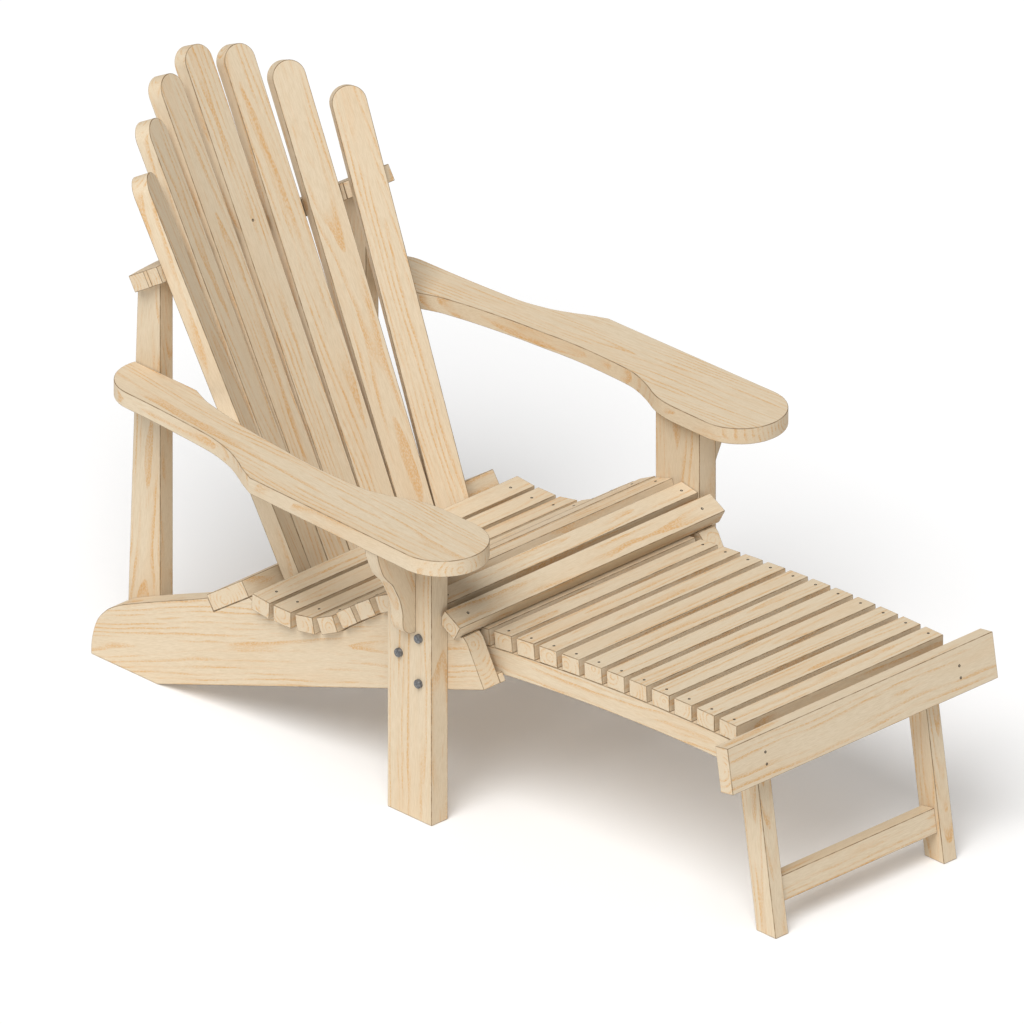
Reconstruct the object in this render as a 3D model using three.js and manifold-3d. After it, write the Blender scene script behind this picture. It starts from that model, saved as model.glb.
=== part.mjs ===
// Adirondack chair with a pull-out footrest, as an assembly of separate wooden boards.
// Millimetres, +Z up. The sitter faces -Y and the chair is symmetric about the plane X = 0.
// While drawing, Y = 0 is the front face of the front legs and Z = 0 is the ground.
// At the end everything is shifted so that the origin is the bottom centre of the bounding box.
import * as THREE from "three";
import { mergeVertices } from "three/addons/utils/BufferGeometryUtils.js";
import Module from "manifold-3d";

const wasm = await Module();
wasm.setup();

// ---- Driving dimensions -------------------------------------------------------------------

const FIT = 0.3; // gap between boards that are let into, or rest on, each other
const THICK = 28; // arms, posts, back slats, rails of the back, apron, runners, footrest legs
const HEAVY = 36; // front legs and side boards
const SLAT_THICK = 28.5;
const SLAT_WIDE = 39.4;

const SIDE_INNER = 239; // inner face of the side boards
const SIDE_OUTER = SIDE_INNER + HEAVY; // outer face, against the front legs
const LEG_OUTER = SIDE_OUTER + HEAVY;
const LEG_DEPTH = 98;
const ARM_UNDERSIDE = 494.6;

const SEAT_LENGTH = 580; // slats that lie across the side boards
const SEAT_LENGTH_BETWEEN_LEGS = 549;
// Middle of each seat slat's top face [y, z] and its slope in degrees (positive: rear edge higher),
// from the front edge of the seat to the rear.
const SEAT_SLATS = [
  { y: -25.4, z: 364.3, slope: 28.6 },
  { y: 20.9, z: 379.2, slope: 9.5, wide: 37.6, betweenLegs: true },
  { y: 78.5, z: 374.5, slope: -18.4, betweenLegs: true },
  { y: 131.3, z: 350.5, slope: -27 },
  { y: 177.9, z: 322.0, slope: -33.9 },
  { y: 219.4, z: 292.9, slope: -35 },
  { y: 261.1, z: 265.1, slope: -25.4 },
  { y: 307.4, z: 249.7, slope: -11.3 },
  { y: 355.4, z: 244.7, slope: -0.9 },
  { y: 402.4, z: 245.6, slope: 4.6 },
];

// Side boards: the lower edge and the ends. The upper edge follows the seat slats.
const SIDE_FOOT_FRONT = [648.7, 0];
const SIDE_FOOT_REAR = [797, 0];
const SIDE_REAR_CURVE = [
  [797, 0], [797, 15], [795, 30], [790.5, 48], [784, 63.7], [777, 74], [766, 86],
  [755, 95.3], [732, 108.7], [710, 119], [643, 147.7], [579, 174],
];
const SIDE_NOSE_TOP = [-33.7, 331.4];
const SIDE_FRONT_TOP = [-42.6, 323.5];
const SIDE_FRONT_BOTTOM = [-80.6, 254.9];

const BOLT_PLACES = [[27, 320], [71, 280], [27, 241]]; // [y, z] on each front leg
const BOLT_RADIUS = 4;
const BOLT_HEAD_RADIUS = 7.5;
const BOLT_HEAD_HEIGHT = 7.2;

// Armrest seen from above, right-hand one: [x, y].
const ARM_FRONT_CENTRE = [326.5, -39];
const ARM_FRONT_RADIUS = 75;
const ARM_OUTER_CORNER = [392.3, 323.5];
const ARM_OUTER_CURVE = [
  [392.3, 323.5], [377, 357], [368.5, 372], [355, 400], [348.5, 418], [340, 450],
  [335.5, 480], [329.5, 560], [326.5, 620], [325, 667],
];
const ARM_REAR_CENTRE = [255, 667];
const ARM_REAR_RADIUS = 70;
const ARM_INNER_CURVE = [
  [251.5, -39], [251.4, 10], [252, 45], [256, 72], [263.5, 94], [274, 116], [287, 152],
  [291.8, 185], [293, 262], [290, 320], [286.5, 350], [280, 417], [273.2, 466],
  [267, 505], [261, 534], [256.2, 556], [251, 571], [240.3, 597],
];

// Bracket under the overhang of each armrest: [x, z] from the arm down to the leg.
const BRACKET_CURVE = [
  [395, 494.6], [393.4, 484], [389.4, 470.5], [381.6, 451], [370.5, 436.5], [361, 426.5],
  [353.2, 411], [346.2, 396.5], [341, 378], [339.1, 366], [339.1, 352], [337.2, 341.5],
  [331, 333.8], [322.5, 329], [311, 327.4],
];
const BRACKET_FRONT = 35; // y of the bracket's front face

// Backrest: seven slats fanned over a hollow arc. The frame of the backrest leans back.
const BACK_RECLINE = 27;
const BACK_FOOT = [484.85, 237]; // [y, z] where the middle slat's front face meets the frame's base
const BACK_SLAT_WIDE = 56;
const BACK_BASE_RADIUS = 320; // hollow of the slats' front faces at the base
const BACK_TURN_STEP = 10.25; // each slat is turned this much more than the one inside it
// Per slat from the middle outwards: where the round top starts (across, along, forward of the
// middle slat's face), and how far the lower end reaches below the base.
const BACK_SLATS = [
  { across: 0, along: 773.5, forward: 0, below: 36 },
  { across: 73.4, along: 749.0, forward: 6.0, below: 36 },
  { across: 142.1, along: 696.2, forward: 23.7, below: 32 },
  { across: 212.4, along: 625.9, forward: 58.0, below: 32 },
];

const LOWER_RAIL = { y: 500, z: 223.9, slope: -34.1, wide: 94.6 };
const LOWER_RAIL_FACET = 62.6; // length of each flat cut for a slat
const LOWER_RAIL_REACH = [-80, 60]; // the stretch of a slat, from its base, that the rail lies in
const UPPER_RAIL_SLOPE = 31.5;
const UPPER_RAIL_POINT = [731.2, 647.4]; // [y, z] on the underside, near the posts' rear edge
// Outline of the upper rail, measured rearwards from that point in the rail's plane.
const UPPER_RAIL_MIDDLE_REAR = 57.8;
const UPPER_RAIL_REAR_RADIUS = 472;
const UPPER_RAIL_EAR_HALF = 261; // the ears lie on the posts and reach past them
const UPPER_RAIL_EAR_FRONT = -58.9;
const UPPER_RAIL_HORN_HALF = 254; // the horns in front of the ears carry the outermost slats
const UPPER_RAIL_HORN_FRONT = -85.5;
const UPPER_RAIL_REACH = [400, 600];
const UPPER_RAIL_FACET = 88; // as wide as the spacing of the slats here, so no ridge is left

const POST_FRONT = 679.5;
const POST_FOOT_REAR = 754;
const POST_TOP_REAR = 729.8;
const POST_FOOT_HEIGHT = 20;

// Pull-out footrest. The slats' top faces lie on a very flat arc.
const FOOTREST_HALF_WIDTH = 226;
const FOOTREST_ARC_RADIUS = 4260;
const FOOTREST_CREST = [-560, 361.8]; // [y, z] of the highest point of the arc
const FOOTREST_SLAT_COUNT = 12;
const FOOTREST_FIRST_SLAT = -575.3; // y of the front slat
const FOOTREST_PITCH = 50.36;
const RUNNER_DEEP = 42;
const RUNNER_FRONT = -617; // about where the runners meet the apron
const RUNNER_REAR = 14;
const FOOTREST_LEAN = 9.2; // the apron leans, lower edge forward
const FOOTREST_LEG_LEAN = 8.7; // the legs lean, feet forward
const APRON_FRONT_TOP = [-639.8, 360.8];
const APRON_HIGH = 78;
const FOOTREST_LEG_WIDE = 43;
const FOOTREST_LEG_FOOT = -653.7; // y of the front edge at the ground
const FOOTREST_LEG_TOP = 328;
const CROSS_RAIL_FRONT_TOP = [-632.1, 91];
const CROSS_RAIL_HIGH = 42;

const GUIDE_THICK = 12;
const GUIDE_HIGH = 15.5;
const GUIDE_LENGTH = 420;

const ORIGIN_SHIFT_Y = -110; // brings the origin to the middle of the depth

// ---- Materials ----------------------------------------------------------------------------

const wood = new THREE.MeshStandardMaterial({ color: 0xdcc8a6, roughness: 0.75, metalness: 0 });
const darkSteel = new THREE.MeshStandardMaterial({ color: 0x3b3d42, roughness: 0.45, metalness: 0.8 });

// ---- Small helpers ------------------------------------------------------------------------

const sin = (degrees) => Math.sin(THREE.MathUtils.degToRad(degrees));
const cos = (degrees) => Math.cos(THREE.MathUtils.degToRad(degrees));
const tan = (degrees) => Math.tan(THREE.MathUtils.degToRad(degrees));

const AXIS_X = new THREE.Vector3(1, 0, 0);
const AXIS_Y = new THREE.Vector3(0, 1, 0);
const AXIS_Z = new THREE.Vector3(0, 0, 1);

const chair = new THREE.Group();
const footrest = new THREE.Group();

function named(name, geometry, material = wood) {
  const mesh = new THREE.Mesh(geometry, material);
  mesh.name = name;
  return mesh;
}

function shapeOf(points) {
  return new THREE.Shape(points.map(([a, b]) => new THREE.Vector2(a, b)));
}

function extruded(shape, depth) {
  return new THREE.ExtrudeGeometry(shape, { depth, bevelEnabled: false, curveSegments: 20 });
}

function smooth(points, pieces) {
  const curve = new THREE.SplineCurve(points.map(([a, b]) => new THREE.Vector2(a, b)));
  return curve.getPoints(pieces).map((p) => [p.x, p.y]);
}

function arc([a, b], radius, from, to, pieces) {
  const points = [];
  for (let i = 0; i <= pieces; i += 1) {
    const angle = from + ((to - from) * i) / pieces;
    points.push([a + radius * cos(angle), b + radius * sin(angle)]);
  }
  return points;
}

// A board whose outline is drawn in [y, z] and whose thickness runs from x0 to x1.
function boardAcross(name, outline, x0, x1, holes = []) {
  const shape = shapeOf(outline);
  shape.holes = holes;
  const mesh = named(name, extruded(shape, x1 - x0));
  mesh.quaternion.setFromRotationMatrix(new THREE.Matrix4().makeBasis(AXIS_Y, AXIS_Z, AXIS_X));
  mesh.position.x = x0;
  return mesh;
}

// The same board on the left (side = -1) or on the right (side = 1).
function sideBoard(name, outline, side, inner, outer, holes = []) {
  const [x0, x1] = side > 0 ? [inner, outer] : [-outer, -inner];
  return boardAcross(name, outline, x0, x1, holes);
}

// Corners [y, z] of a cross board's section: rear top, rear bottom, front bottom, front top.
function sectionCorners({ y, z, slope, wide = SLAT_WIDE, thick = SLAT_THICK }, grow = 0) {
  const along = [cos(slope), sin(slope)];
  const up = [-sin(slope), cos(slope)];
  const corner = (a, b) => [y + along[0] * a + up[0] * b, z + along[1] * a + up[1] * b];
  const half = wide / 2 + grow;
  return [corner(half, grow), corner(half, -thick - grow), corner(-half, -thick - grow), corner(-half, grow)];
}

function crossBoard(name, section, length) {
  return boardAcross(name, sectionCorners(section), -length / 2, length / 2);
}

// A board of given height that leans with its lower edge forward, from its front top edge.
function leaningSection([y, z], high, thick) {
  const down = [-sin(FOOTREST_LEAN) * high, -cos(FOOTREST_LEAN) * high];
  const back = [cos(FOOTREST_LEAN) * thick, -sin(FOOTREST_LEAN) * thick];
  return [
    [y, z],
    [y + down[0], z + down[1]],
    [y + down[0] + back[0], z + down[1] + back[1]],
    [y + back[0], z + back[1]],
  ];
}

// ---- Cutting one board by others ------------------------------------------------------------

function toSolid(mesh) {
  mesh.updateMatrixWorld(true);
  const geometry = mesh.geometry.clone().applyMatrix4(mesh.matrixWorld);
  geometry.deleteAttribute("normal");
  geometry.deleteAttribute("uv");
  const merged = mergeVertices(geometry, 1e-3);
  return new wasm.Manifold(new wasm.Mesh({
    numProp: 3,
    vertProperties: merged.attributes.position.array,
    triVerts: new Uint32Array(merged.index.array),
  }));
}

function fromSolid(name, solid) {
  const { vertProperties, triVerts } = solid.getMesh();
  const geometry = new THREE.BufferGeometry();
  geometry.setAttribute("position", new THREE.BufferAttribute(vertProperties, 3));
  geometry.setIndex(new THREE.BufferAttribute(triVerts, 1));
  const flat = geometry.toNonIndexed();
  flat.computeVertexNormals();
  return named(name, flat);
}

function cutBy(mesh, cutters) {
  const solid = cutters.reduce((left, cutter) => left.subtract(toSolid(cutter)), toSolid(mesh));
  return fromSolid(mesh.name, solid);
}

// ---- Seat and its side boards -----------------------------------------------------------------

function lowerRailSection() {
  return { ...LOWER_RAIL, thick: SLAT_THICK };
}

function sideBoardOutline() {
  const [railRearTop, railRearBottom, railFrontBottom] = sectionCorners(lowerRailSection(), FIT);
  const notchDepth = 0.2; // part of the rail's rear edge that stands above the board
  const notchTop = [
    railRearTop[0] + (railRearBottom[0] - railRearTop[0]) * notchDepth,
    railRearTop[1] + (railRearBottom[1] - railRearTop[1]) * notchDepth,
  ];
  const underSlats = [...SEAT_SLATS].reverse().flatMap((slat) => {
    const corners = sectionCorners(slat, FIT);
    return [corners[1], corners[2]].map(([y, z], i) => [y + (i === 0 ? -FIT : FIT), z]);
  });
  return [
    SIDE_FOOT_FRONT,
    ...smooth(SIDE_REAR_CURVE, 26),
    notchTop,
    railRearBottom,
    railFrontBottom,
    ...underSlats,
    SIDE_NOSE_TOP,
    SIDE_FRONT_TOP,
    SIDE_FRONT_BOTTOM,
  ];
}

function boltHoles() {
  return BOLT_PLACES.map(([y, z]) => shapeOf(arc([y, z], BOLT_RADIUS + FIT, 0, 345, 23)));
}

function addSeat() {
  for (const [side, label] of [[-1, "left"], [1, "right"]]) {
    const outline = sideBoardOutline();
    chair.add(sideBoard(`side_board_${label}`, outline, side, SIDE_INNER, SIDE_OUTER, boltHoles()));
  }
  SEAT_SLATS.forEach((slat, i) => {
    const length = slat.betweenLegs ? SEAT_LENGTH_BETWEEN_LEGS : SEAT_LENGTH;
    const mesh = crossBoard(`seat_slat_${i + 1}`, slat, length);
    // The front slat's ends are trimmed where they pass the front legs.
    chair.add(i === 0 ? cutBy(mesh, [-1, 1].map((side) => legBlank("trim", side, FIT))) : mesh);
  });
}

// ---- Front legs, bolts, brackets and armrests --------------------------------------------------

function legBlank(name, side, grow, holes = []) {
  const outline = [
    [-grow, 0],
    [LEG_DEPTH + grow, 0],
    [LEG_DEPTH + grow, ARM_UNDERSIDE],
    [-grow, ARM_UNDERSIDE],
  ];
  return sideBoard(name, outline, side, SIDE_OUTER - grow, LEG_OUTER + grow, holes);
}

// A round-headed bolt that runs through the leg and the side board, drawn around the Z axis.
function boltGeometry() {
  const shank = 2 * HEAVY - 1;
  const profile = [
    new THREE.Vector2(0, -shank),
    new THREE.Vector2(BOLT_RADIUS - 0.8, -shank),
    new THREE.Vector2(BOLT_RADIUS, -shank + 0.8),
    new THREE.Vector2(BOLT_RADIUS, 0.1),
    new THREE.Vector2(BOLT_HEAD_RADIUS, 0.1),
    new THREE.Vector2(BOLT_HEAD_RADIUS, BOLT_HEAD_HEIGHT * 0.62),
    new THREE.Vector2(BOLT_HEAD_RADIUS * 0.88, BOLT_HEAD_HEIGHT * 0.83),
    new THREE.Vector2(BOLT_HEAD_RADIUS * 0.53, BOLT_HEAD_HEIGHT * 0.96),
    new THREE.Vector2(0, BOLT_HEAD_HEIGHT),
  ];
  return new THREE.LatheGeometry(profile, 24).rotateX(Math.PI / 2);
}

function addFrontLegs() {
  for (const [side, label] of [[-1, "left"], [1, "right"]]) {
    chair.add(legBlank(`front_leg_${label}`, side, 0, boltHoles()));
    BOLT_PLACES.forEach(([y, z], i) => {
      const bolt = named(`bolt_${label}_${i + 1}`, boltGeometry(), darkSteel);
      bolt.quaternion.setFromUnitVectors(AXIS_Z, new THREE.Vector3(side, 0, 0));
      bolt.position.set(side * LEG_OUTER, y, z);
      chair.add(bolt);
    });
  }
}

function addBrackets() {
  for (const [side, label] of [[-1, "left"], [1, "right"]]) {
    const outline = [[LEG_OUTER, ARM_UNDERSIDE], ...smooth(BRACKET_CURVE, 32)];
    const shape = shapeOf(outline.map(([x, z]) => [side * x, z]));
    const bracket = named(`arm_bracket_${label}`, extruded(shape, THICK));
    bracket.quaternion.setFromAxisAngle(AXIS_X, Math.PI / 2); // the outline's second axis turns up
    bracket.position.y = BRACKET_FRONT + THICK;
    chair.add(bracket);
  }
}

function armOutline() {
  const rearInner = SIDE_INNER + FIT;
  const lastAngle = THREE.MathUtils.radToDeg(Math.acos((rearInner - ARM_REAR_CENTRE[0]) / ARM_REAR_RADIUS));
  return [
    ...arc(ARM_FRONT_CENTRE, ARM_FRONT_RADIUS, -180, 0, 26),
    ARM_OUTER_CORNER,
    ...smooth(ARM_OUTER_CURVE, 24).slice(1),
    ...arc(ARM_REAR_CENTRE, ARM_REAR_RADIUS, 0, lastAngle, 12).slice(1),
    ...smooth(ARM_INNER_CURVE, 44).reverse().slice(0, -1),
  ];
}

function addArms() {
  for (const [side, label] of [[-1, "left"], [1, "right"]]) {
    const shape = shapeOf(armOutline().map(([x, y]) => [side * x, y]));
    const arm = named(`arm_${label}`, extruded(shape, THICK));
    arm.position.z = ARM_UNDERSIDE;
    chair.add(arm);
  }
}

// ---- Backrest --------------------------------------------------------------------------------

const BACK_UP = new THREE.Vector3(0, sin(BACK_RECLINE), cos(BACK_RECLINE));
const BACK_FRONT = new THREE.Vector3(0, -cos(BACK_RECLINE), sin(BACK_RECLINE));

function backPoint(across, along, forward) {
  return new THREE.Vector3(across, ...BACK_FOOT)
    .addScaledVector(BACK_UP, along)
    .addScaledVector(BACK_FRONT, forward);
}

// Frame of back slat n (0 is the middle, negative to the left): origin on its front face at the base,
// first axis across, second axis up along the slat, third axis out of the front face.
function backSlatFrame(n) {
  const turn = n * BACK_TURN_STEP;
  const { across, along, forward } = BACK_SLATS[Math.abs(n)];
  const base = backPoint(BACK_BASE_RADIUS * sin(turn), 0, BACK_BASE_RADIUS * (1 - cos(turn)));
  const top = backPoint(Math.sign(n) * across, along, forward);
  const up = top.clone().sub(base);
  const length = up.length();
  up.normalize();
  const across0 = AXIS_X.clone().multiplyScalar(cos(turn)).addScaledVector(BACK_FRONT, sin(turn));
  const front = across0.clone().cross(up).normalize();
  const acrossAxis = up.clone().cross(front);
  return { matrix: new THREE.Matrix4().makeBasis(acrossAxis, up, front).setPosition(base), length };
}

function placed(mesh, matrix) {
  mesh.applyMatrix4(matrix);
  return mesh;
}

function backSlat(n) {
  const { matrix, length } = backSlatFrame(n);
  const half = BACK_SLAT_WIDE / 2;
  const outline = [
    [-half, -BACK_SLATS[Math.abs(n)].below],
    [half, -BACK_SLATS[Math.abs(n)].below],
    ...arc([0, length], half, 0, 180, 20),
  ];
  const geometry = extruded(shapeOf(outline), THICK).translate(0, 0, -THICK);
  return placed(named(`back_slat_${n + 4}`, geometry), matrix);
}

// Everything in front of a slat's back face, as wide as the flat that is cut for it.
function slatSeat(n, facet, [from, to]) {
  const reach = 160;
  const box = new THREE.BoxGeometry(facet, to - from, reach);
  box.translate(0, (from + to) / 2, reach / 2 - THICK - FIT);
  return placed(named("seat", box), backSlatFrame(n).matrix);
}

const SLAT_NUMBERS = [-3, -2, -1, 0, 1, 2, 3];

function lowerRail() {
  const blank = crossBoard("lower_back_rail", lowerRailSection(), 2 * SIDE_OUTER);
  return cutBy(blank, SLAT_NUMBERS.map((n) => slatSeat(n, LOWER_RAIL_FACET, LOWER_RAIL_REACH)));
}

// A curved band behind the slats, level with the tops of the posts and square to the backrest.
function upperRail() {
  const centre = UPPER_RAIL_MIDDLE_REAR - UPPER_RAIL_REAR_RADIUS;
  const endAngle = THREE.MathUtils.radToDeg(Math.acos(UPPER_RAIL_EAR_HALF / UPPER_RAIL_REAR_RADIUS));
  const rightEnd = [
    [UPPER_RAIL_HORN_HALF, UPPER_RAIL_HORN_FRONT],
    [UPPER_RAIL_HORN_HALF, UPPER_RAIL_EAR_FRONT],
    [UPPER_RAIL_EAR_HALF, UPPER_RAIL_EAR_FRONT],
  ];
  const outline = [
    ...rightEnd,
    ...arc([0, centre], UPPER_RAIL_REAR_RADIUS, endAngle, 180 - endAngle, 24),
    ...rightEnd.map(([x, y]) => [-x, y]).reverse(),
  ];
  const rearwards = new THREE.Vector3(0, cos(UPPER_RAIL_SLOPE), -sin(UPPER_RAIL_SLOPE));
  const upwards = AXIS_X.clone().cross(rearwards);
  const matrix = new THREE.Matrix4().makeBasis(AXIS_X, rearwards, upwards);
  matrix.setPosition(0, ...UPPER_RAIL_POINT);
  const blank = placed(named("upper_back_rail", extruded(shapeOf(outline), THICK)), matrix);
  return cutBy(blank, SLAT_NUMBERS.map((n) => slatSeat(n, UPPER_RAIL_FACET, UPPER_RAIL_REACH)));
}

function addBackrest() {
  // The lower ends of the outermost slats are trimmed behind the rear seat slat.
  const rearSeatSlat = SEAT_SLATS[SEAT_SLATS.length - 1];
  const half = SEAT_LENGTH / 2;
  const clearance = boardAcross("trim", sectionCorners(rearSeatSlat, FIT), -half, half);
  SLAT_NUMBERS.forEach((n) => {
    const slat = backSlat(n);
    chair.add(Math.abs(n) === 3 ? cutBy(slat, [clearance]) : slat);
  });
  chair.add(lowerRail(), upperRail());
  const [railY, railZ] = UPPER_RAIL_POINT;
  const underRail = (y) => railZ + (railY - y) * tan(UPPER_RAIL_SLOPE) - FIT;
  const outline = [
    [POST_FRONT, POST_FOOT_HEIGHT],
    [POST_FOOT_REAR, POST_FOOT_HEIGHT],
    [POST_TOP_REAR, underRail(POST_TOP_REAR)],
    [POST_FRONT, underRail(POST_FRONT)],
  ];
  for (const [side, label] of [[-1, "left"], [1, "right"]]) {
    chair.add(sideBoard(`rear_post_${label}`, outline, side, SIDE_INNER - THICK, SIDE_INNER));
  }
}

// ---- Guides for the footrest, on the inner faces of the side boards ------------------------------

function addGuides() {
  const [frontY, frontZ] = SIDE_FRONT_BOTTOM;
  const fall = Math.atan2(frontZ - SIDE_FOOT_FRONT[1], SIDE_FOOT_FRONT[0] - frontY);
  const back = [Math.cos(fall), -Math.sin(fall)];
  const endUp = new THREE.Vector2(...SIDE_FRONT_TOP).sub(new THREE.Vector2(frontY, frontZ)).normalize();
  const frontHigh = GUIDE_HIGH / (endUp.x * Math.sin(fall) + endUp.y * Math.cos(fall));
  const rear = [frontY + back[0] * GUIDE_LENGTH, frontZ + back[1] * GUIDE_LENGTH];
  const outline = [
    SIDE_FRONT_BOTTOM,
    rear,
    [rear[0] + GUIDE_HIGH * Math.sin(fall), rear[1] + GUIDE_HIGH * Math.cos(fall)],
    [frontY + endUp.x * frontHigh, frontZ + endUp.y * frontHigh],
  ];
  for (const [side, label] of [[-1, "left"], [1, "right"]]) {
    chair.add(sideBoard(`footrest_guide_${label}`, outline, side, SIDE_INNER - GUIDE_THICK, SIDE_INNER));
  }
}

// ---- Pull-out footrest ---------------------------------------------------------------------------

// Height of the footrest's arc at y, when the arc is lowered by `below` along its radius.
function footrestHeight(y, below = 0) {
  const radius = FOOTREST_ARC_RADIUS - below;
  const centre = FOOTREST_CREST[1] - FOOTREST_ARC_RADIUS;
  return centre + Math.sqrt(radius ** 2 - (y - FOOTREST_CREST[0]) ** 2);
}

function apronSection() {
  return leaningSection(APRON_FRONT_TOP, APRON_HIGH, THICK);
}

function runnerOutline() {
  const [, , rearBottom, rearTop] = apronSection();
  const lean = (rearBottom[0] - rearTop[0]) / (rearTop[1] - rearBottom[1]);
  const faceAt = (z) => rearTop[0] + (rearTop[1] - z) * lean;
  const under = SLAT_THICK + FIT;
  const frontTop = faceAt(footrestHeight(RUNNER_FRONT, under)) + FIT;
  const frontBottom = faceAt(footrestHeight(RUNNER_FRONT, under + RUNNER_DEEP)) + FIT;
  const pieces = 20;
  const edge = (from, to, below) => Array.from({ length: pieces + 1 }, (_, i) => {
    const y = from + ((to - from) * i) / pieces;
    return [y, footrestHeight(y, below)];
  });
  return [...edge(frontBottom, RUNNER_REAR, under + RUNNER_DEEP), ...edge(RUNNER_REAR, frontTop, under)];
}

function footrestLegOutline() {
  const lean = tan(FOOTREST_LEG_LEAN);
  const across = FOOTREST_LEG_WIDE / cos(FOOTREST_LEG_LEAN);
  return [
    [FOOTREST_LEG_FOOT, 0],
    [FOOTREST_LEG_FOOT + across, 0],
    [FOOTREST_LEG_FOOT + across + FOOTREST_LEG_TOP * lean, FOOTREST_LEG_TOP],
    [FOOTREST_LEG_FOOT + FOOTREST_LEG_TOP * lean, FOOTREST_LEG_TOP],
  ];
}

function addFootrest() {
  const runnerInner = FOOTREST_HALF_WIDTH - THICK;
  const legInner = runnerInner - THICK;
  for (let i = 0; i < FOOTREST_SLAT_COUNT; i += 1) {
    const y = FOOTREST_FIRST_SLAT + i * FOOTREST_PITCH;
    const slope = -THREE.MathUtils.radToDeg(Math.asin((y - FOOTREST_CREST[0]) / FOOTREST_ARC_RADIUS));
    const section = { y, z: footrestHeight(y), slope };
    footrest.add(crossBoard(`footrest_slat_${i + 1}`, section, 2 * FOOTREST_HALF_WIDTH));
  }
  for (const [side, label] of [[-1, "left"], [1, "right"]]) {
    const runner = runnerOutline();
    footrest.add(sideBoard(`footrest_runner_${label}`, runner, side, runnerInner, FOOTREST_HALF_WIDTH));
    footrest.add(sideBoard(`footrest_leg_${label}`, footrestLegOutline(), side, legInner, runnerInner));
  }
  footrest.add(boardAcross("footrest_apron", apronSection(), -SEAT_LENGTH / 2, SEAT_LENGTH / 2));
  const crossRail = leaningSection(CROSS_RAIL_FRONT_TOP, CROSS_RAIL_HIGH, THICK);
  footrest.add(boardAcross("footrest_cross_rail", crossRail, -legInner, legInner));
}

// ---- Assembly --------------------------------------------------------------------------------------

addSeat();
addFrontLegs();
addBrackets();
addArms();
addBackrest();
addGuides();
addFootrest();

const group = new THREE.Group();
group.add(chair, footrest);
group.position.y = ORIGIN_SHIFT_Y;

export default group;
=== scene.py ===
"""Looks of a slatted wooden garden chair with a pull-out footrest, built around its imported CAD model."""

import math
import random

import bmesh
import bpy
import numpy as np
from mathutils import Matrix, Vector


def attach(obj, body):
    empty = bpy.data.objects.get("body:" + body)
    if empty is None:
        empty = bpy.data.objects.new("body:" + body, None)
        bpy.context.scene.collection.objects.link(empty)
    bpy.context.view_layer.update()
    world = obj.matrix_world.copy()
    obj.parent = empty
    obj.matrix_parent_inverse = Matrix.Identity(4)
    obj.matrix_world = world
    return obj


# ---- Camera: a parallel view from the front left and above
VIEW_TURN = math.radians(44.39)  # turned from looking along +Y towards +X
VIEW_ELEVATION = math.radians(27.0)
VIEW_WIDTH = 1.6  # metres across the picture
VIEW_OFFSET = (-0.01945, 0.35675)  # middle of the picture, right and up in the picture plane
CAMERA_DISTANCE = 4.0

# ---- Boards
EDGE_ROUNDING = 0.0011
SHARP_ANGLE = math.radians(32)
FLAT_ANGLE = math.radians(0.2)
SHORTEST_ROUNDED = 0.002  # edges shorter than this stay sharp
WELD_DISTANCE = 2e-5
BEVEL_SEGMENTS = 2

# ---- Pine: noise scales are per metre, along the grain, across and through the board
DRAW_SEED = 11
SEED_RANGE = 40
PITH_REACH = (0.012, 0.008)  # how far a board's pith may lie from its middle: across, through
RING_SPACING = 0.0078
RING_WANDER = 0.046  # how far the rings bend slowly
RING_WANDER_SCALE = (2.2, 9, 9)
RING_RIPPLE = 0.0045  # how far they bend quickly
RING_RIPPLE_SCALE = (14, 55, 55)
RING_RISE = (0.42, 0.86)  # parts of a ring over which the late wood darkens and ends
RING_DROP = (0.93, 1.0)
STRENGTH_SCALE, STRENGTH_RANGE = (6, 60, 60), (0.36, 0.64)
SPECK_SCALE, SPECK_RANGE = (240, 500, 500), (0.38, 0.62)
SPECK_SHARE = 0.6  # how much of a ring line the specks can take away
FIBRE_SCALE, FIBRE_RANGE = (60, 900, 900), (0.30, 0.70)
CLOUD_SCALE, CLOUD_RANGE = (3.0, 22, 22), (0.45, 0.80)
STREAK_SCALE, STREAK_RANGE = (10, 130, 130), (0.64, 0.80)
LINE_TINT, CLOUD_TINT, STREAK_TINT, FIBRE_TINT = 0.70, 0.16, 0.50, 0.22
LINE_HEIGHT, FIBRE_HEIGHT = 0.5, 0.7

# ---- Screws, in the drawing's frame, where Y = 0 is the front of the front legs
DRAWING_SHIFT_Y = -0.110
SEAT_SCREW_X = 0.256
FOOTREST_SCREW_X = 0.212
APRON_SCREW_HEIGHTS = (0.330, 0.310)
APRON_LEAN = math.radians(9.2)
APRON_TOP = (-0.6398, 0.3608)  # y and z of the upper front edge
BACK_SCREW_Y = 0.7164
BACK_SCREW_Z = 0.6914
BACK_RECLINE = math.radians(27)
SCREW_RADIUS = 0.0023
SCREW_PROUD = 0.0005
SCREW_SUNK = 0.0004
SCREW_RIM_SHARE = 0.4  # how far up the head its side goes before it slopes inwards
SCREW_TOP_SHARE = 0.8  # radius of the flat top, as a part of the head's
SCREW_RECESS_SHARE = 0.5  # depth of the recess below the wood, as a part of the head's
SCREW_SLOT = 0.0005  # half the width of the cross's arms
SCREW_SLOT_REACH = 0.0016
SCREW_SIDES = 20
SEAT_SLATS, FOOTREST_SLATS = 10, 12
UPWARDS = 0.7  # a face whose normal rises more than this belongs to a slat's top

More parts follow.
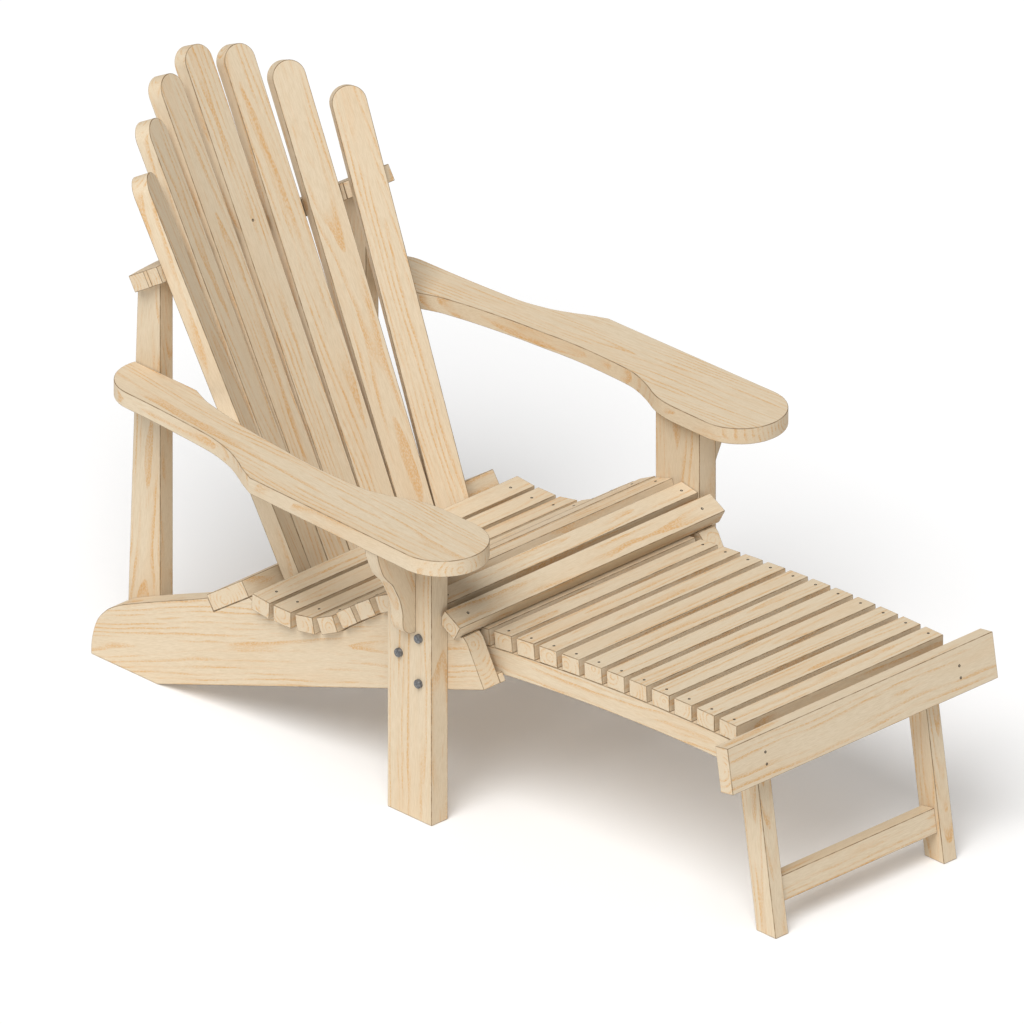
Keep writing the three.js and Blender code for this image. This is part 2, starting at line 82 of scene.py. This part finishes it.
# ---- Light and floor
SUN_TOWARDS = (-0.52, -0.25, 0.80)
SUN_STRENGTH = 2.85
SUN_ANGLE = math.radians(40)
SKY_STRENGTH = 0.33
FLOOR_HALF = 40
FLOOR_Z = -0.0005  # a hair below the feet
FLOOR_GLOW = 0.12

# ---- Colours, linear
CREAM = (0.640, 0.515, 0.352, 1)
PALE = (0.725, 0.612, 0.455, 1)
ORANGE = (0.610, 0.315, 0.085, 1)
# painted shade: the dark brown given to the rounded board edges
EDGE_SHADE_BROWN = (0.235, 0.150, 0.075, 1)
STEEL_BLOTCH = 2.1  # how much lighter the blotches on steel are
BOLT_GREY = (0.120, 0.122, 0.126, 1)
SCREW_GREY = (0.005, 0.005, 0.005, 1)
FLOOR_GREY = (0.86, 0.86, 0.86, 1)
WHITE = (1, 1, 1, 1)

# Sockets of the colour mix node, which has several with the same names.
MIX_FACTOR, MIX_A, MIX_B, MIX_RESULT = 0, 6, 7, 2


def add_camera():
    right = Vector((math.cos(VIEW_TURN), -math.sin(VIEW_TURN), 0))
    into = Vector((
        math.sin(VIEW_TURN) * math.cos(VIEW_ELEVATION),
        math.cos(VIEW_TURN) * math.cos(VIEW_ELEVATION),
        -math.sin(VIEW_ELEVATION),
    ))
    up = right.cross(into)
    camera = bpy.data.objects.new("camera", bpy.data.cameras.new("camera"))
    camera.data.type = "ORTHO"
    camera.data.ortho_scale = VIEW_WIDTH
    camera.location = right * VIEW_OFFSET[0] + up * VIEW_OFFSET[1] - into * CAMERA_DISTANCE
    camera.rotation_euler = into.to_track_quat("-Z", "Y").to_euler()
    bpy.context.scene.collection.objects.link(camera)
    bpy.context.scene.camera = camera


# ---- Node helpers


class Nodes:
    """Adds nodes to a tree and links them."""

    def __init__(self, tree):
        self.tree = tree

    def add(self, kind, inputs=None, **settings):
        node = self.tree.nodes.new(kind)
        for key, value in settings.items():
            setattr(node, key, value)
        for key, value in (inputs or {}).items():
            self.put(node.inputs[key], value)
        return node

    def put(self, socket, value):
        if isinstance(value, bpy.types.NodeSocket):
            self.tree.links.new(value, socket)
        else:
            socket.default_value = value

    def math(self, operation, a, b=0.0, clamp=False):
        node = self.add("ShaderNodeMath", {0: a, 1: b}, operation=operation, use_clamp=clamp)
        return node.outputs[0]

    def stretch(self, vector, scale):
        node = self.add("ShaderNodeVectorMath", {0: vector, 1: scale}, operation="MULTIPLY")
        return node.outputs[0]

    def shift(self, vector, offset):
        node = self.add("ShaderNodeVectorMath", {0: vector, 1: offset}, operation="ADD")
        return node.outputs[0]

    def noise(self, vector, detail=2.0, roughness=0.5):
        inputs = {"Vector": vector, "Scale": 1.0, "Detail": detail, "Roughness": roughness}
        return self.add("ShaderNodeTexNoise", inputs).outputs["Fac"]

    def steps(self, value, low, high):
        inputs = {"Value": value, "From Min": low, "From Max": high}
        node = self.add("ShaderNodeMapRange", inputs, interpolation_type="SMOOTHSTEP")
        return node.outputs["Result"]

    def mix(self, factor, a, b):
        node = self.add("ShaderNodeMix", data_type="RGBA")
        self.put(node.inputs[MIX_FACTOR], factor)
        self.put(node.inputs[MIX_A], a)
        self.put(node.inputs[MIX_B], b)
        return node.outputs[MIX_RESULT]

    def scaled(self, value, factor, base=0.0):
        """The base plus the value times the factor."""
        return self.math("ADD", base, self.math("MULTIPLY", value, factor))

    def swing(self, value, width):
        """A value around a half, turned into one around zero and that wide."""
        return self.math("MULTIPLY", self.math("SUBTRACT", value, 0.5), width)

    def bump(self, height, strength, distance):
        inputs = {"Height": height, "Strength": strength, "Distance": distance}
        return self.add("ShaderNodeBump", inputs).outputs["Normal"]


def new_material(name):
    """A material with its shader and a helper for its nodes."""
    material = bpy.data.materials.new(name)
    material.use_nodes = True
    return material, material.node_tree.nodes["Principled BSDF"], Nodes(material.node_tree)


def new_group(name, kind, inputs, outputs):
    """A node group with the given sockets, and a helper for its nodes."""
    tree = bpy.data.node_groups.new(name, kind)
    for in_out, sockets in (("INPUT", inputs), ("OUTPUT", outputs)):
        for socket, socket_type in sockets.items():
            tree.interface.new_socket(socket, in_out=in_out, socket_type=socket_type)
    return tree, Nodes(tree)


# ---- Pine


def pine_group():
    """Planed pine around a pith line. Vector: along the grain, across the board, through the board."""
    given_sockets = {"Vector": "NodeSocketVector", "Seed": "NodeSocketVector"}
    made_sockets = {
        "Color": "NodeSocketColor",
        "Roughness": "NodeSocketFloat",
        "Height": "NodeSocketFloat",
    }
    tree, n = new_group("pine_grain", "ShaderNodeTree", given_sockets, made_sockets)
    given = n.add("NodeGroupInput")
    place = given.outputs["Vector"]
    seeded = n.shift(place, given.outputs["Seed"])

    # Distance from the pith, which wanders slowly along the board.
    wander = n.noise(n.stretch(seeded, RING_WANDER_SCALE), detail=1)
    ripple = n.noise(n.stretch(seeded, RING_RIPPLE_SCALE), detail=2)
    apart = n.add("ShaderNodeSeparateXYZ", {0: place})
    across, through = apart.outputs["Y"], apart.outputs["Z"]
    squares = [n.math("MULTIPLY", part, part) for part in (across, through)]
    radius = n.math("SQRT", n.math("ADD", *squares))
    bent = n.math("ADD", radius, n.swing(wander, RING_WANDER))
    bent = n.math("ADD", bent, n.swing(ripple, RING_RIPPLE))

    # Growth rings: a soft rise and a narrow dark line of late wood.
    turns = n.math("FRACT", n.math("DIVIDE", bent, RING_SPACING))
    line = n.math("SUBTRACT", n.steps(turns, *RING_RISE), n.steps(turns, *RING_DROP), clamp=True)
    strength = n.steps(n.noise(n.stretch(seeded, STRENGTH_SCALE), detail=2), *STRENGTH_RANGE)
    specks = n.steps(n.noise(n.stretch(seeded, SPECK_SCALE), detail=1), *SPECK_RANGE)
    line = n.math("MULTIPLY", line, strength)
    line = n.math("MULTIPLY", line, n.scaled(specks, SPECK_SHARE, 1 - SPECK_SHARE))

    fibre = n.noise(n.stretch(seeded, FIBRE_SCALE), detail=3, roughness=0.65)
    cloud = n.steps(n.noise(n.stretch(seeded, CLOUD_SCALE), detail=2), *CLOUD_RANGE)
    streak = n.steps(n.noise(n.stretch(seeded, STREAK_SCALE), detail=3), *STREAK_RANGE)

    tint = n.scaled(cloud, CLOUD_TINT, n.math("MULTIPLY", line, LINE_TINT))
    tint = n.scaled(streak, STREAK_TINT, tint)
    tint = n.math("ADD", tint, n.swing(fibre, FIBRE_TINT), clamp=True)
    base = n.mix(n.steps(fibre, *FIBRE_RANGE), CREAM, PALE)
    colour = n.mix(tint, base, ORANGE)
    rough = n.scaled(fibre, 0.16, 0.60)
    raised, sunk = n.math("MULTIPLY", fibre, FIBRE_HEIGHT), n.math("MULTIPLY", line, LINE_HEIGHT)
    height = n.math("SUBTRACT", raised, sunk)
    n.add("NodeGroupOutput", {"Color": colour, "Roughness": rough, "Height": height})
    return tree


def board_axes(node):
    """Middle of a board and its directions: along the grain, across the board, through the board."""
    faces = node.data.polygons
    middles = np.array([face.center for face in faces])
    areas = np.array([face.area for face in faces])
    middle = (middles * areas[:, None]).sum(0) / areas.sum()
    spread = (middles - middle) * np.sqrt(areas)[:, None]
    axes = np.linalg.eigh(spread.T @ spread)[1]
    along = Vector(axes[:, 2])
    across = Vector(axes[:, 1])
    return Vector(middle), along, across, along.cross(across)


def pine_material(node, group, draw):
    """Pine for one board, with its own pith line and its own pattern."""
    material, shader, n = new_material(f"pine_{node.name}")
    middle, along, across, through = board_axes(node)
    turn = Matrix((along, across, through))
    pith = Vector((0, *(draw.uniform(-reach, reach) for reach in PITH_REACH)))
    place = n.add("ShaderNodeTexCoord").outputs["Object"]
    mapping = n.add("ShaderNodeMapping", {
        "Vector": place,
        "Location": -(turn @ middle) + pith,
        "Rotation": turn.to_euler("XYZ"),
    }, vector_type="POINT")
    grain = n.add("ShaderNodeGroup", node_tree=group)
    n.put(grain.inputs["Vector"], mapping.outputs["Vector"])
    n.put(grain.inputs["Seed"], tuple(draw.uniform(0, SEED_RANGE) for _ in range(3)))
    n.put(shader.inputs["Base Color"], grain.outputs["Color"])
    n.put(shader.inputs["Roughness"], grain.outputs["Roughness"])
    n.put(shader.inputs["Normal"], n.bump(grain.outputs["Height"], strength=0.35, distance=0.0004))
    shader.inputs["Specular IOR Level"].default_value = 0.3
    return material


def edge_shade_material():
    """Painted shade on the rounded edges of the boards: they are a little browner and darker than the
    faces, so that they stand out as dark lines.
    """
    material, shader, n = new_material("painted_edge_shade")
    place = n.add("ShaderNodeTexCoord").outputs["Object"]
    patchy = n.steps(n.noise(n.stretch(place, (55, 55, 55)), detail=3), 0.30, 0.72)
    grain = n.noise(n.stretch(place, (700, 700, 700)), detail=2)
    n.put(shader.inputs["Base Color"], n.mix(n.math("MULTIPLY", patchy, 0.45), EDGE_SHADE_BROWN, CREAM))
    n.put(shader.inputs["Roughness"], n.scaled(grain, 0.2, 0.55))
    n.put(shader.inputs["Normal"], n.bump(grain, strength=0.3, distance=0.0003))
    return material


# ---- Steel


def steel_material(name, colour, roughness, metallic):
    """Blackened steel with a fine, slightly blotchy finish."""
    material, shader, n = new_material(name)
    place = n.add("ShaderNodeTexCoord").outputs["Object"]
    blotch = n.noise(n.stretch(place, (320, 320, 320)), detail=3)
    grain = n.noise(n.stretch(place, (2600, 2600, 2600)), detail=1)
    lighter = tuple(min(1.0, STEEL_BLOTCH * c) for c in colour[:3]) + (1,)
    n.put(shader.inputs["Base Color"], n.mix(n.steps(blotch, 0.35, 0.75), colour, lighter))
    n.put(shader.inputs["Roughness"], n.scaled(blotch, 0.2, roughness))
    n.put(shader.inputs["Normal"], n.bump(grain, strength=0.25, distance=0.0001))
    shader.inputs["Metallic"].default_value = metallic
    return material


# ---- Edges and finish of the CAD nodes


MESH_SOCKET = {"Geometry": "NodeSocketGeometry"}


def weld_group():
    """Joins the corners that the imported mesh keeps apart."""
    tree, n = new_group("weld", "GeometryNodeTree", MESH_SOCKET, MESH_SOCKET)
    given = n.add("NodeGroupInput")
    inputs = {"Geometry": given.outputs[0], "Distance": WELD_DISTANCE}
    merged = n.add("GeometryNodeMergeByDistance", inputs)
    n.add("NodeGroupOutput", {0: merged.outputs[0]})
    return tree


def mark_group():
    """Marks the edges to be rounded: sharp ones, apart from the short edges round the bolt holes."""
    tree, n = new_group("mark_edges", "GeometryNodeTree", MESH_SOCKET, MESH_SOCKET)
    given = n.add("NodeGroupInput")
    angle = n.add("GeometryNodeInputMeshEdgeAngle").outputs["Unsigned Angle"]
    sharp = n.math("GREATER_THAN", angle, SHARP_ANGLE)
    ends = n.add("GeometryNodeInputMeshEdgeVertices")
    length = n.add("ShaderNodeVectorMath", {
        0: ends.outputs["Position 1"],
        1: ends.outputs["Position 2"],
    }, operation="DISTANCE").outputs["Value"]
    long_enough = n.math("GREATER_THAN", length, SHORTEST_ROUNDED)
    normals = n.add("GeometryNodeSetMeshNormal", {"Mesh": given.outputs[0]}, mode="SHARPNESS")
    n.put(normals.inputs["Remove Custom"], True)
    n.put(normals.inputs["Edge Sharpness"], sharp)
    stored = n.add("GeometryNodeStoreNamedAttribute", {
        "Geometry": normals.outputs[0],
        "Name": "bevel_weight_edge",
    }, data_type="FLOAT", domain="EDGE")
    n.put(stored.inputs["Value"], n.math("MULTIPLY", sharp, long_enough))
    n.add("NodeGroupOutput", {0: stored.outputs[0]})
    return tree


def round_edges(node, weld, mark, width):
    """Slightly rounds the edges of a CAD node, in its last material. Its mesh stays as it is."""
    node.modifiers.new("weld", "NODES").node_group = weld
    flat = node.modifiers.new("flat_faces", "DECIMATE")
    flat.decimate_type = "DISSOLVE"
    flat.angle_limit = FLAT_ANGLE
    node.modifiers.new("mark_edges", "NODES").node_group = mark
    bevel = node.modifiers.new("rounded_edges", "BEVEL")
    bevel.width = width
    bevel.segments = BEVEL_SEGMENTS
    bevel.limit_method = "WEIGHT"
    bevel.use_clamp_overlap = False
    bevel.harden_normals = True
    bevel.material = len(node.material_slots) - 1


def finish_nodes(nodes, bolt_steel):
    """Gives every CAD node its material and its rounded edges. The order settles the random draws."""
    painted_edge_shade = edge_shade_material()
    grain_group = pine_group()
    weld, mark = weld_group(), mark_group()
    draw = random.Random(DRAW_SEED)
    for name in sorted(nodes):
        node = nodes[name]
        is_bolt = name.startswith("bolt_")
        finish = bolt_steel if is_bolt else pine_material(node, grain_group, draw)
        for slot in node.material_slots:
            slot.material = finish
        if not is_bolt:
            # the rounded edges get the painted edge shade, a dark brown line
            node.data.materials.append(painted_edge_shade)
        round_edges(node, weld, mark, EDGE_ROUNDING / 2 if is_bolt else EDGE_ROUNDING)


# ---- Screws


def cross_outline(height):
    """Corners of a cross-shaped recess, at a given height."""
    reach, half = SCREW_SLOT_REACH, SCREW_SLOT
    quarter = [(half, -reach), (half, -half), (reach, -half)]
    corners = []
    for turn in range(4):
        c, s = round(math.cos(turn * math.pi / 2)), round(math.sin(turn * math.pi / 2))
        corners += [(x * c - y * s, x * s + y * c) for x, y in quarter]
    return [Vector((x, y, height)) for x, y in corners]


def circle(radius, height):
    turns = [2 * math.pi * i / SCREW_SIDES for i in range(SCREW_SIDES)]
    return [Vector((radius * math.cos(t), radius * math.sin(t), height)) for t in turns]


def add_loop(bm, points):
    vertices = [bm.verts.new(p) for p in points]
    edges = [bm.edges.new((a, b)) for a, b in zip(vertices, vertices[1:] + vertices[:1])]
    return vertices, edges


def bridge(bm, lower, upper):
    count = len(lower)
    for i in range(count):
        j = (i + 1) % count
        bm.faces.new((lower[i], lower[j], upper[j], upper[i]))


def screw_head(bm, place, normal):
    """A countersunk head with a cross recess, its top a hair above the wood."""
    part = bmesh.new()
    foot, _ = add_loop(part, circle(SCREW_RADIUS, -SCREW_SUNK))
    rim, _ = add_loop(part, circle(SCREW_RADIUS, SCREW_PROUD * SCREW_RIM_SHARE))
    top, top_edges = add_loop(part, circle(SCREW_RADIUS * SCREW_TOP_SHARE, SCREW_PROUD))
    recess, recess_edges = add_loop(part, cross_outline(SCREW_PROUD))
    floor, _ = add_loop(part, cross_outline(-SCREW_SUNK * SCREW_RECESS_SHARE))
    part.faces.new(list(reversed(foot)))
    bridge(part, foot, rim)
    bridge(part, rim, top)
    bridge(part, recess, floor)
    part.faces.new(floor)
    bmesh.ops.triangle_fill(part, edges=top_edges + recess_edges, use_beauty=True)
    bmesh.ops.recalc_face_normals(part, faces=part.faces)
    turn = Vector((0, 0, 1)).rotation_difference(normal).to_matrix().to_4x4()
    part.transform(Matrix.Translation(place) @ turn)
    mesh = bpy.data.meshes.new("screw")
    part.to_mesh(mesh)
    part.free()
    bm.from_mesh(mesh)
    bpy.data.meshes.remove(mesh)


def add_screws(name, body, places, material):
    """One piece with the screws that fix one board: places are (point, direction) pairs."""
    bm = bmesh.new()
    for place, normal in places:
        screw_head(bm, place, normal)
    mesh = bpy.data.meshes.new(name)
    bm.to_mesh(mesh)
    bm.free()
    mesh.materials.append(material)
    piece = bpy.data.objects.new(name, mesh)
    bpy.context.scene.collection.objects.link(piece)
    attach(piece, body)


def top_face(node):
    """Middle and direction of the faces of a board that look upwards."""
    total, middle, normal = 0.0, Vector(), Vector()
    for face in node.data.polygons:
        if face.normal.z > UPWARDS:
            total += face.area
            middle += face.center * face.area
            normal += face.normal * face.area
    return middle / total, normal.normalized()


def add_slat_screws(nodes, material):
    rows = (
        ("seat_slat", SEAT_SLATS, "chair", SEAT_SCREW_X),
        ("footrest_slat", FOOTREST_SLATS, "footrest", FOOTREST_SCREW_X),
    )
    for kind, count, body, reach in rows:
        for number in range(1, count + 1):
            slat = f"{kind}_{number}"
            middle, normal = top_face(nodes[slat])
            places = [(Vector((side * reach, middle.y, middle.z)), normal) for side in (-1, 1)]
            add_screws(f"screws_{slat}", body, places, material)


def add_apron_screws(material):
    normal = Vector((0, -math.cos(APRON_LEAN), math.sin(APRON_LEAN)))
    places = []
    for height in APRON_SCREW_HEIGHTS:
        y = APRON_TOP[0] - (APRON_TOP[1] - height) * math.tan(APRON_LEAN) + DRAWING_SHIFT_Y
        places += [(Vector((side * FOOTREST_SCREW_X, y, height)), normal) for side in (-1, 1)]
    add_screws("screws_footrest_apron", "footrest", places, material)


def add_back_screw(material):
    normal = Vector((0, -math.cos(BACK_RECLINE), math.sin(BACK_RECLINE)))
    place = Vector((0, BACK_SCREW_Y + DRAWING_SHIFT_Y, BACK_SCREW_Z))
    add_screws("screw_back_slat_4", "chair", [(place, normal)], material)


# ---- Stage


def add_floor():
    mesh = bpy.data.meshes.new("floor")
    corners = [(x * FLOOR_HALF, y * FLOOR_HALF, 0) for x, y in ((-1, -1), (1, -1), (1, 1), (-1, 1))]
    mesh.from_pydata(corners, [], [(0, 1, 2, 3)])
    floor = bpy.data.objects.new("floor", mesh)
    floor.location.z = FLOOR_Z
    material, shader, _ = new_material("floor")
    shader.inputs["Base Color"].default_value = FLOOR_GREY
    shader.inputs["Roughness"].default_value = 0.9
    shader.inputs["Emission Color"].default_value = WHITE
    shader.inputs["Emission Strength"].default_value = FLOOR_GLOW
    mesh.materials.append(material)
    bpy.context.scene.collection.objects.link(floor)


def add_light():
    world = bpy.data.worlds.new("studio")
    world.use_nodes = True
    background = world.node_tree.nodes["Background"]
    background.inputs["Color"].default_value = WHITE
    background.inputs["Strength"].default_value = SKY_STRENGTH
    bpy.context.scene.world = world
    data = bpy.data.lights.new("key", "SUN")
    data.energy = SUN_STRENGTH
    data.angle = SUN_ANGLE
    key = bpy.data.objects.new("key", data)
    key.rotation_euler = Vector(SUN_TOWARDS).to_track_quat("Z", "Y").to_euler()
    bpy.context.scene.collection.objects.link(key)
    bpy.context.scene.view_settings.view_transform = "Standard"


# ---- Everything

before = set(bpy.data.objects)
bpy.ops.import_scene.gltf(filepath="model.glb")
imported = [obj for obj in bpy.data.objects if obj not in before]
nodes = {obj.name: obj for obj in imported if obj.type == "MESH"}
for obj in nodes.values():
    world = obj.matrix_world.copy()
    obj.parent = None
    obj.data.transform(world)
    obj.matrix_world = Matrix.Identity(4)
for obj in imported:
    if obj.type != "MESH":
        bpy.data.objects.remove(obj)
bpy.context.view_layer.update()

add_camera()
add_floor()
add_light()

bolt_steel = steel_material("bolt_steel", BOLT_GREY, roughness=0.35, metallic=0.5)
screw_steel = steel_material("screw_steel", SCREW_GREY, roughness=0.65, metallic=0.0)
finish_nodes(nodes, bolt_steel)
add_slat_screws(nodes, screw_steel)
add_apron_screws(screw_steel)
add_back_screw(screw_steel)
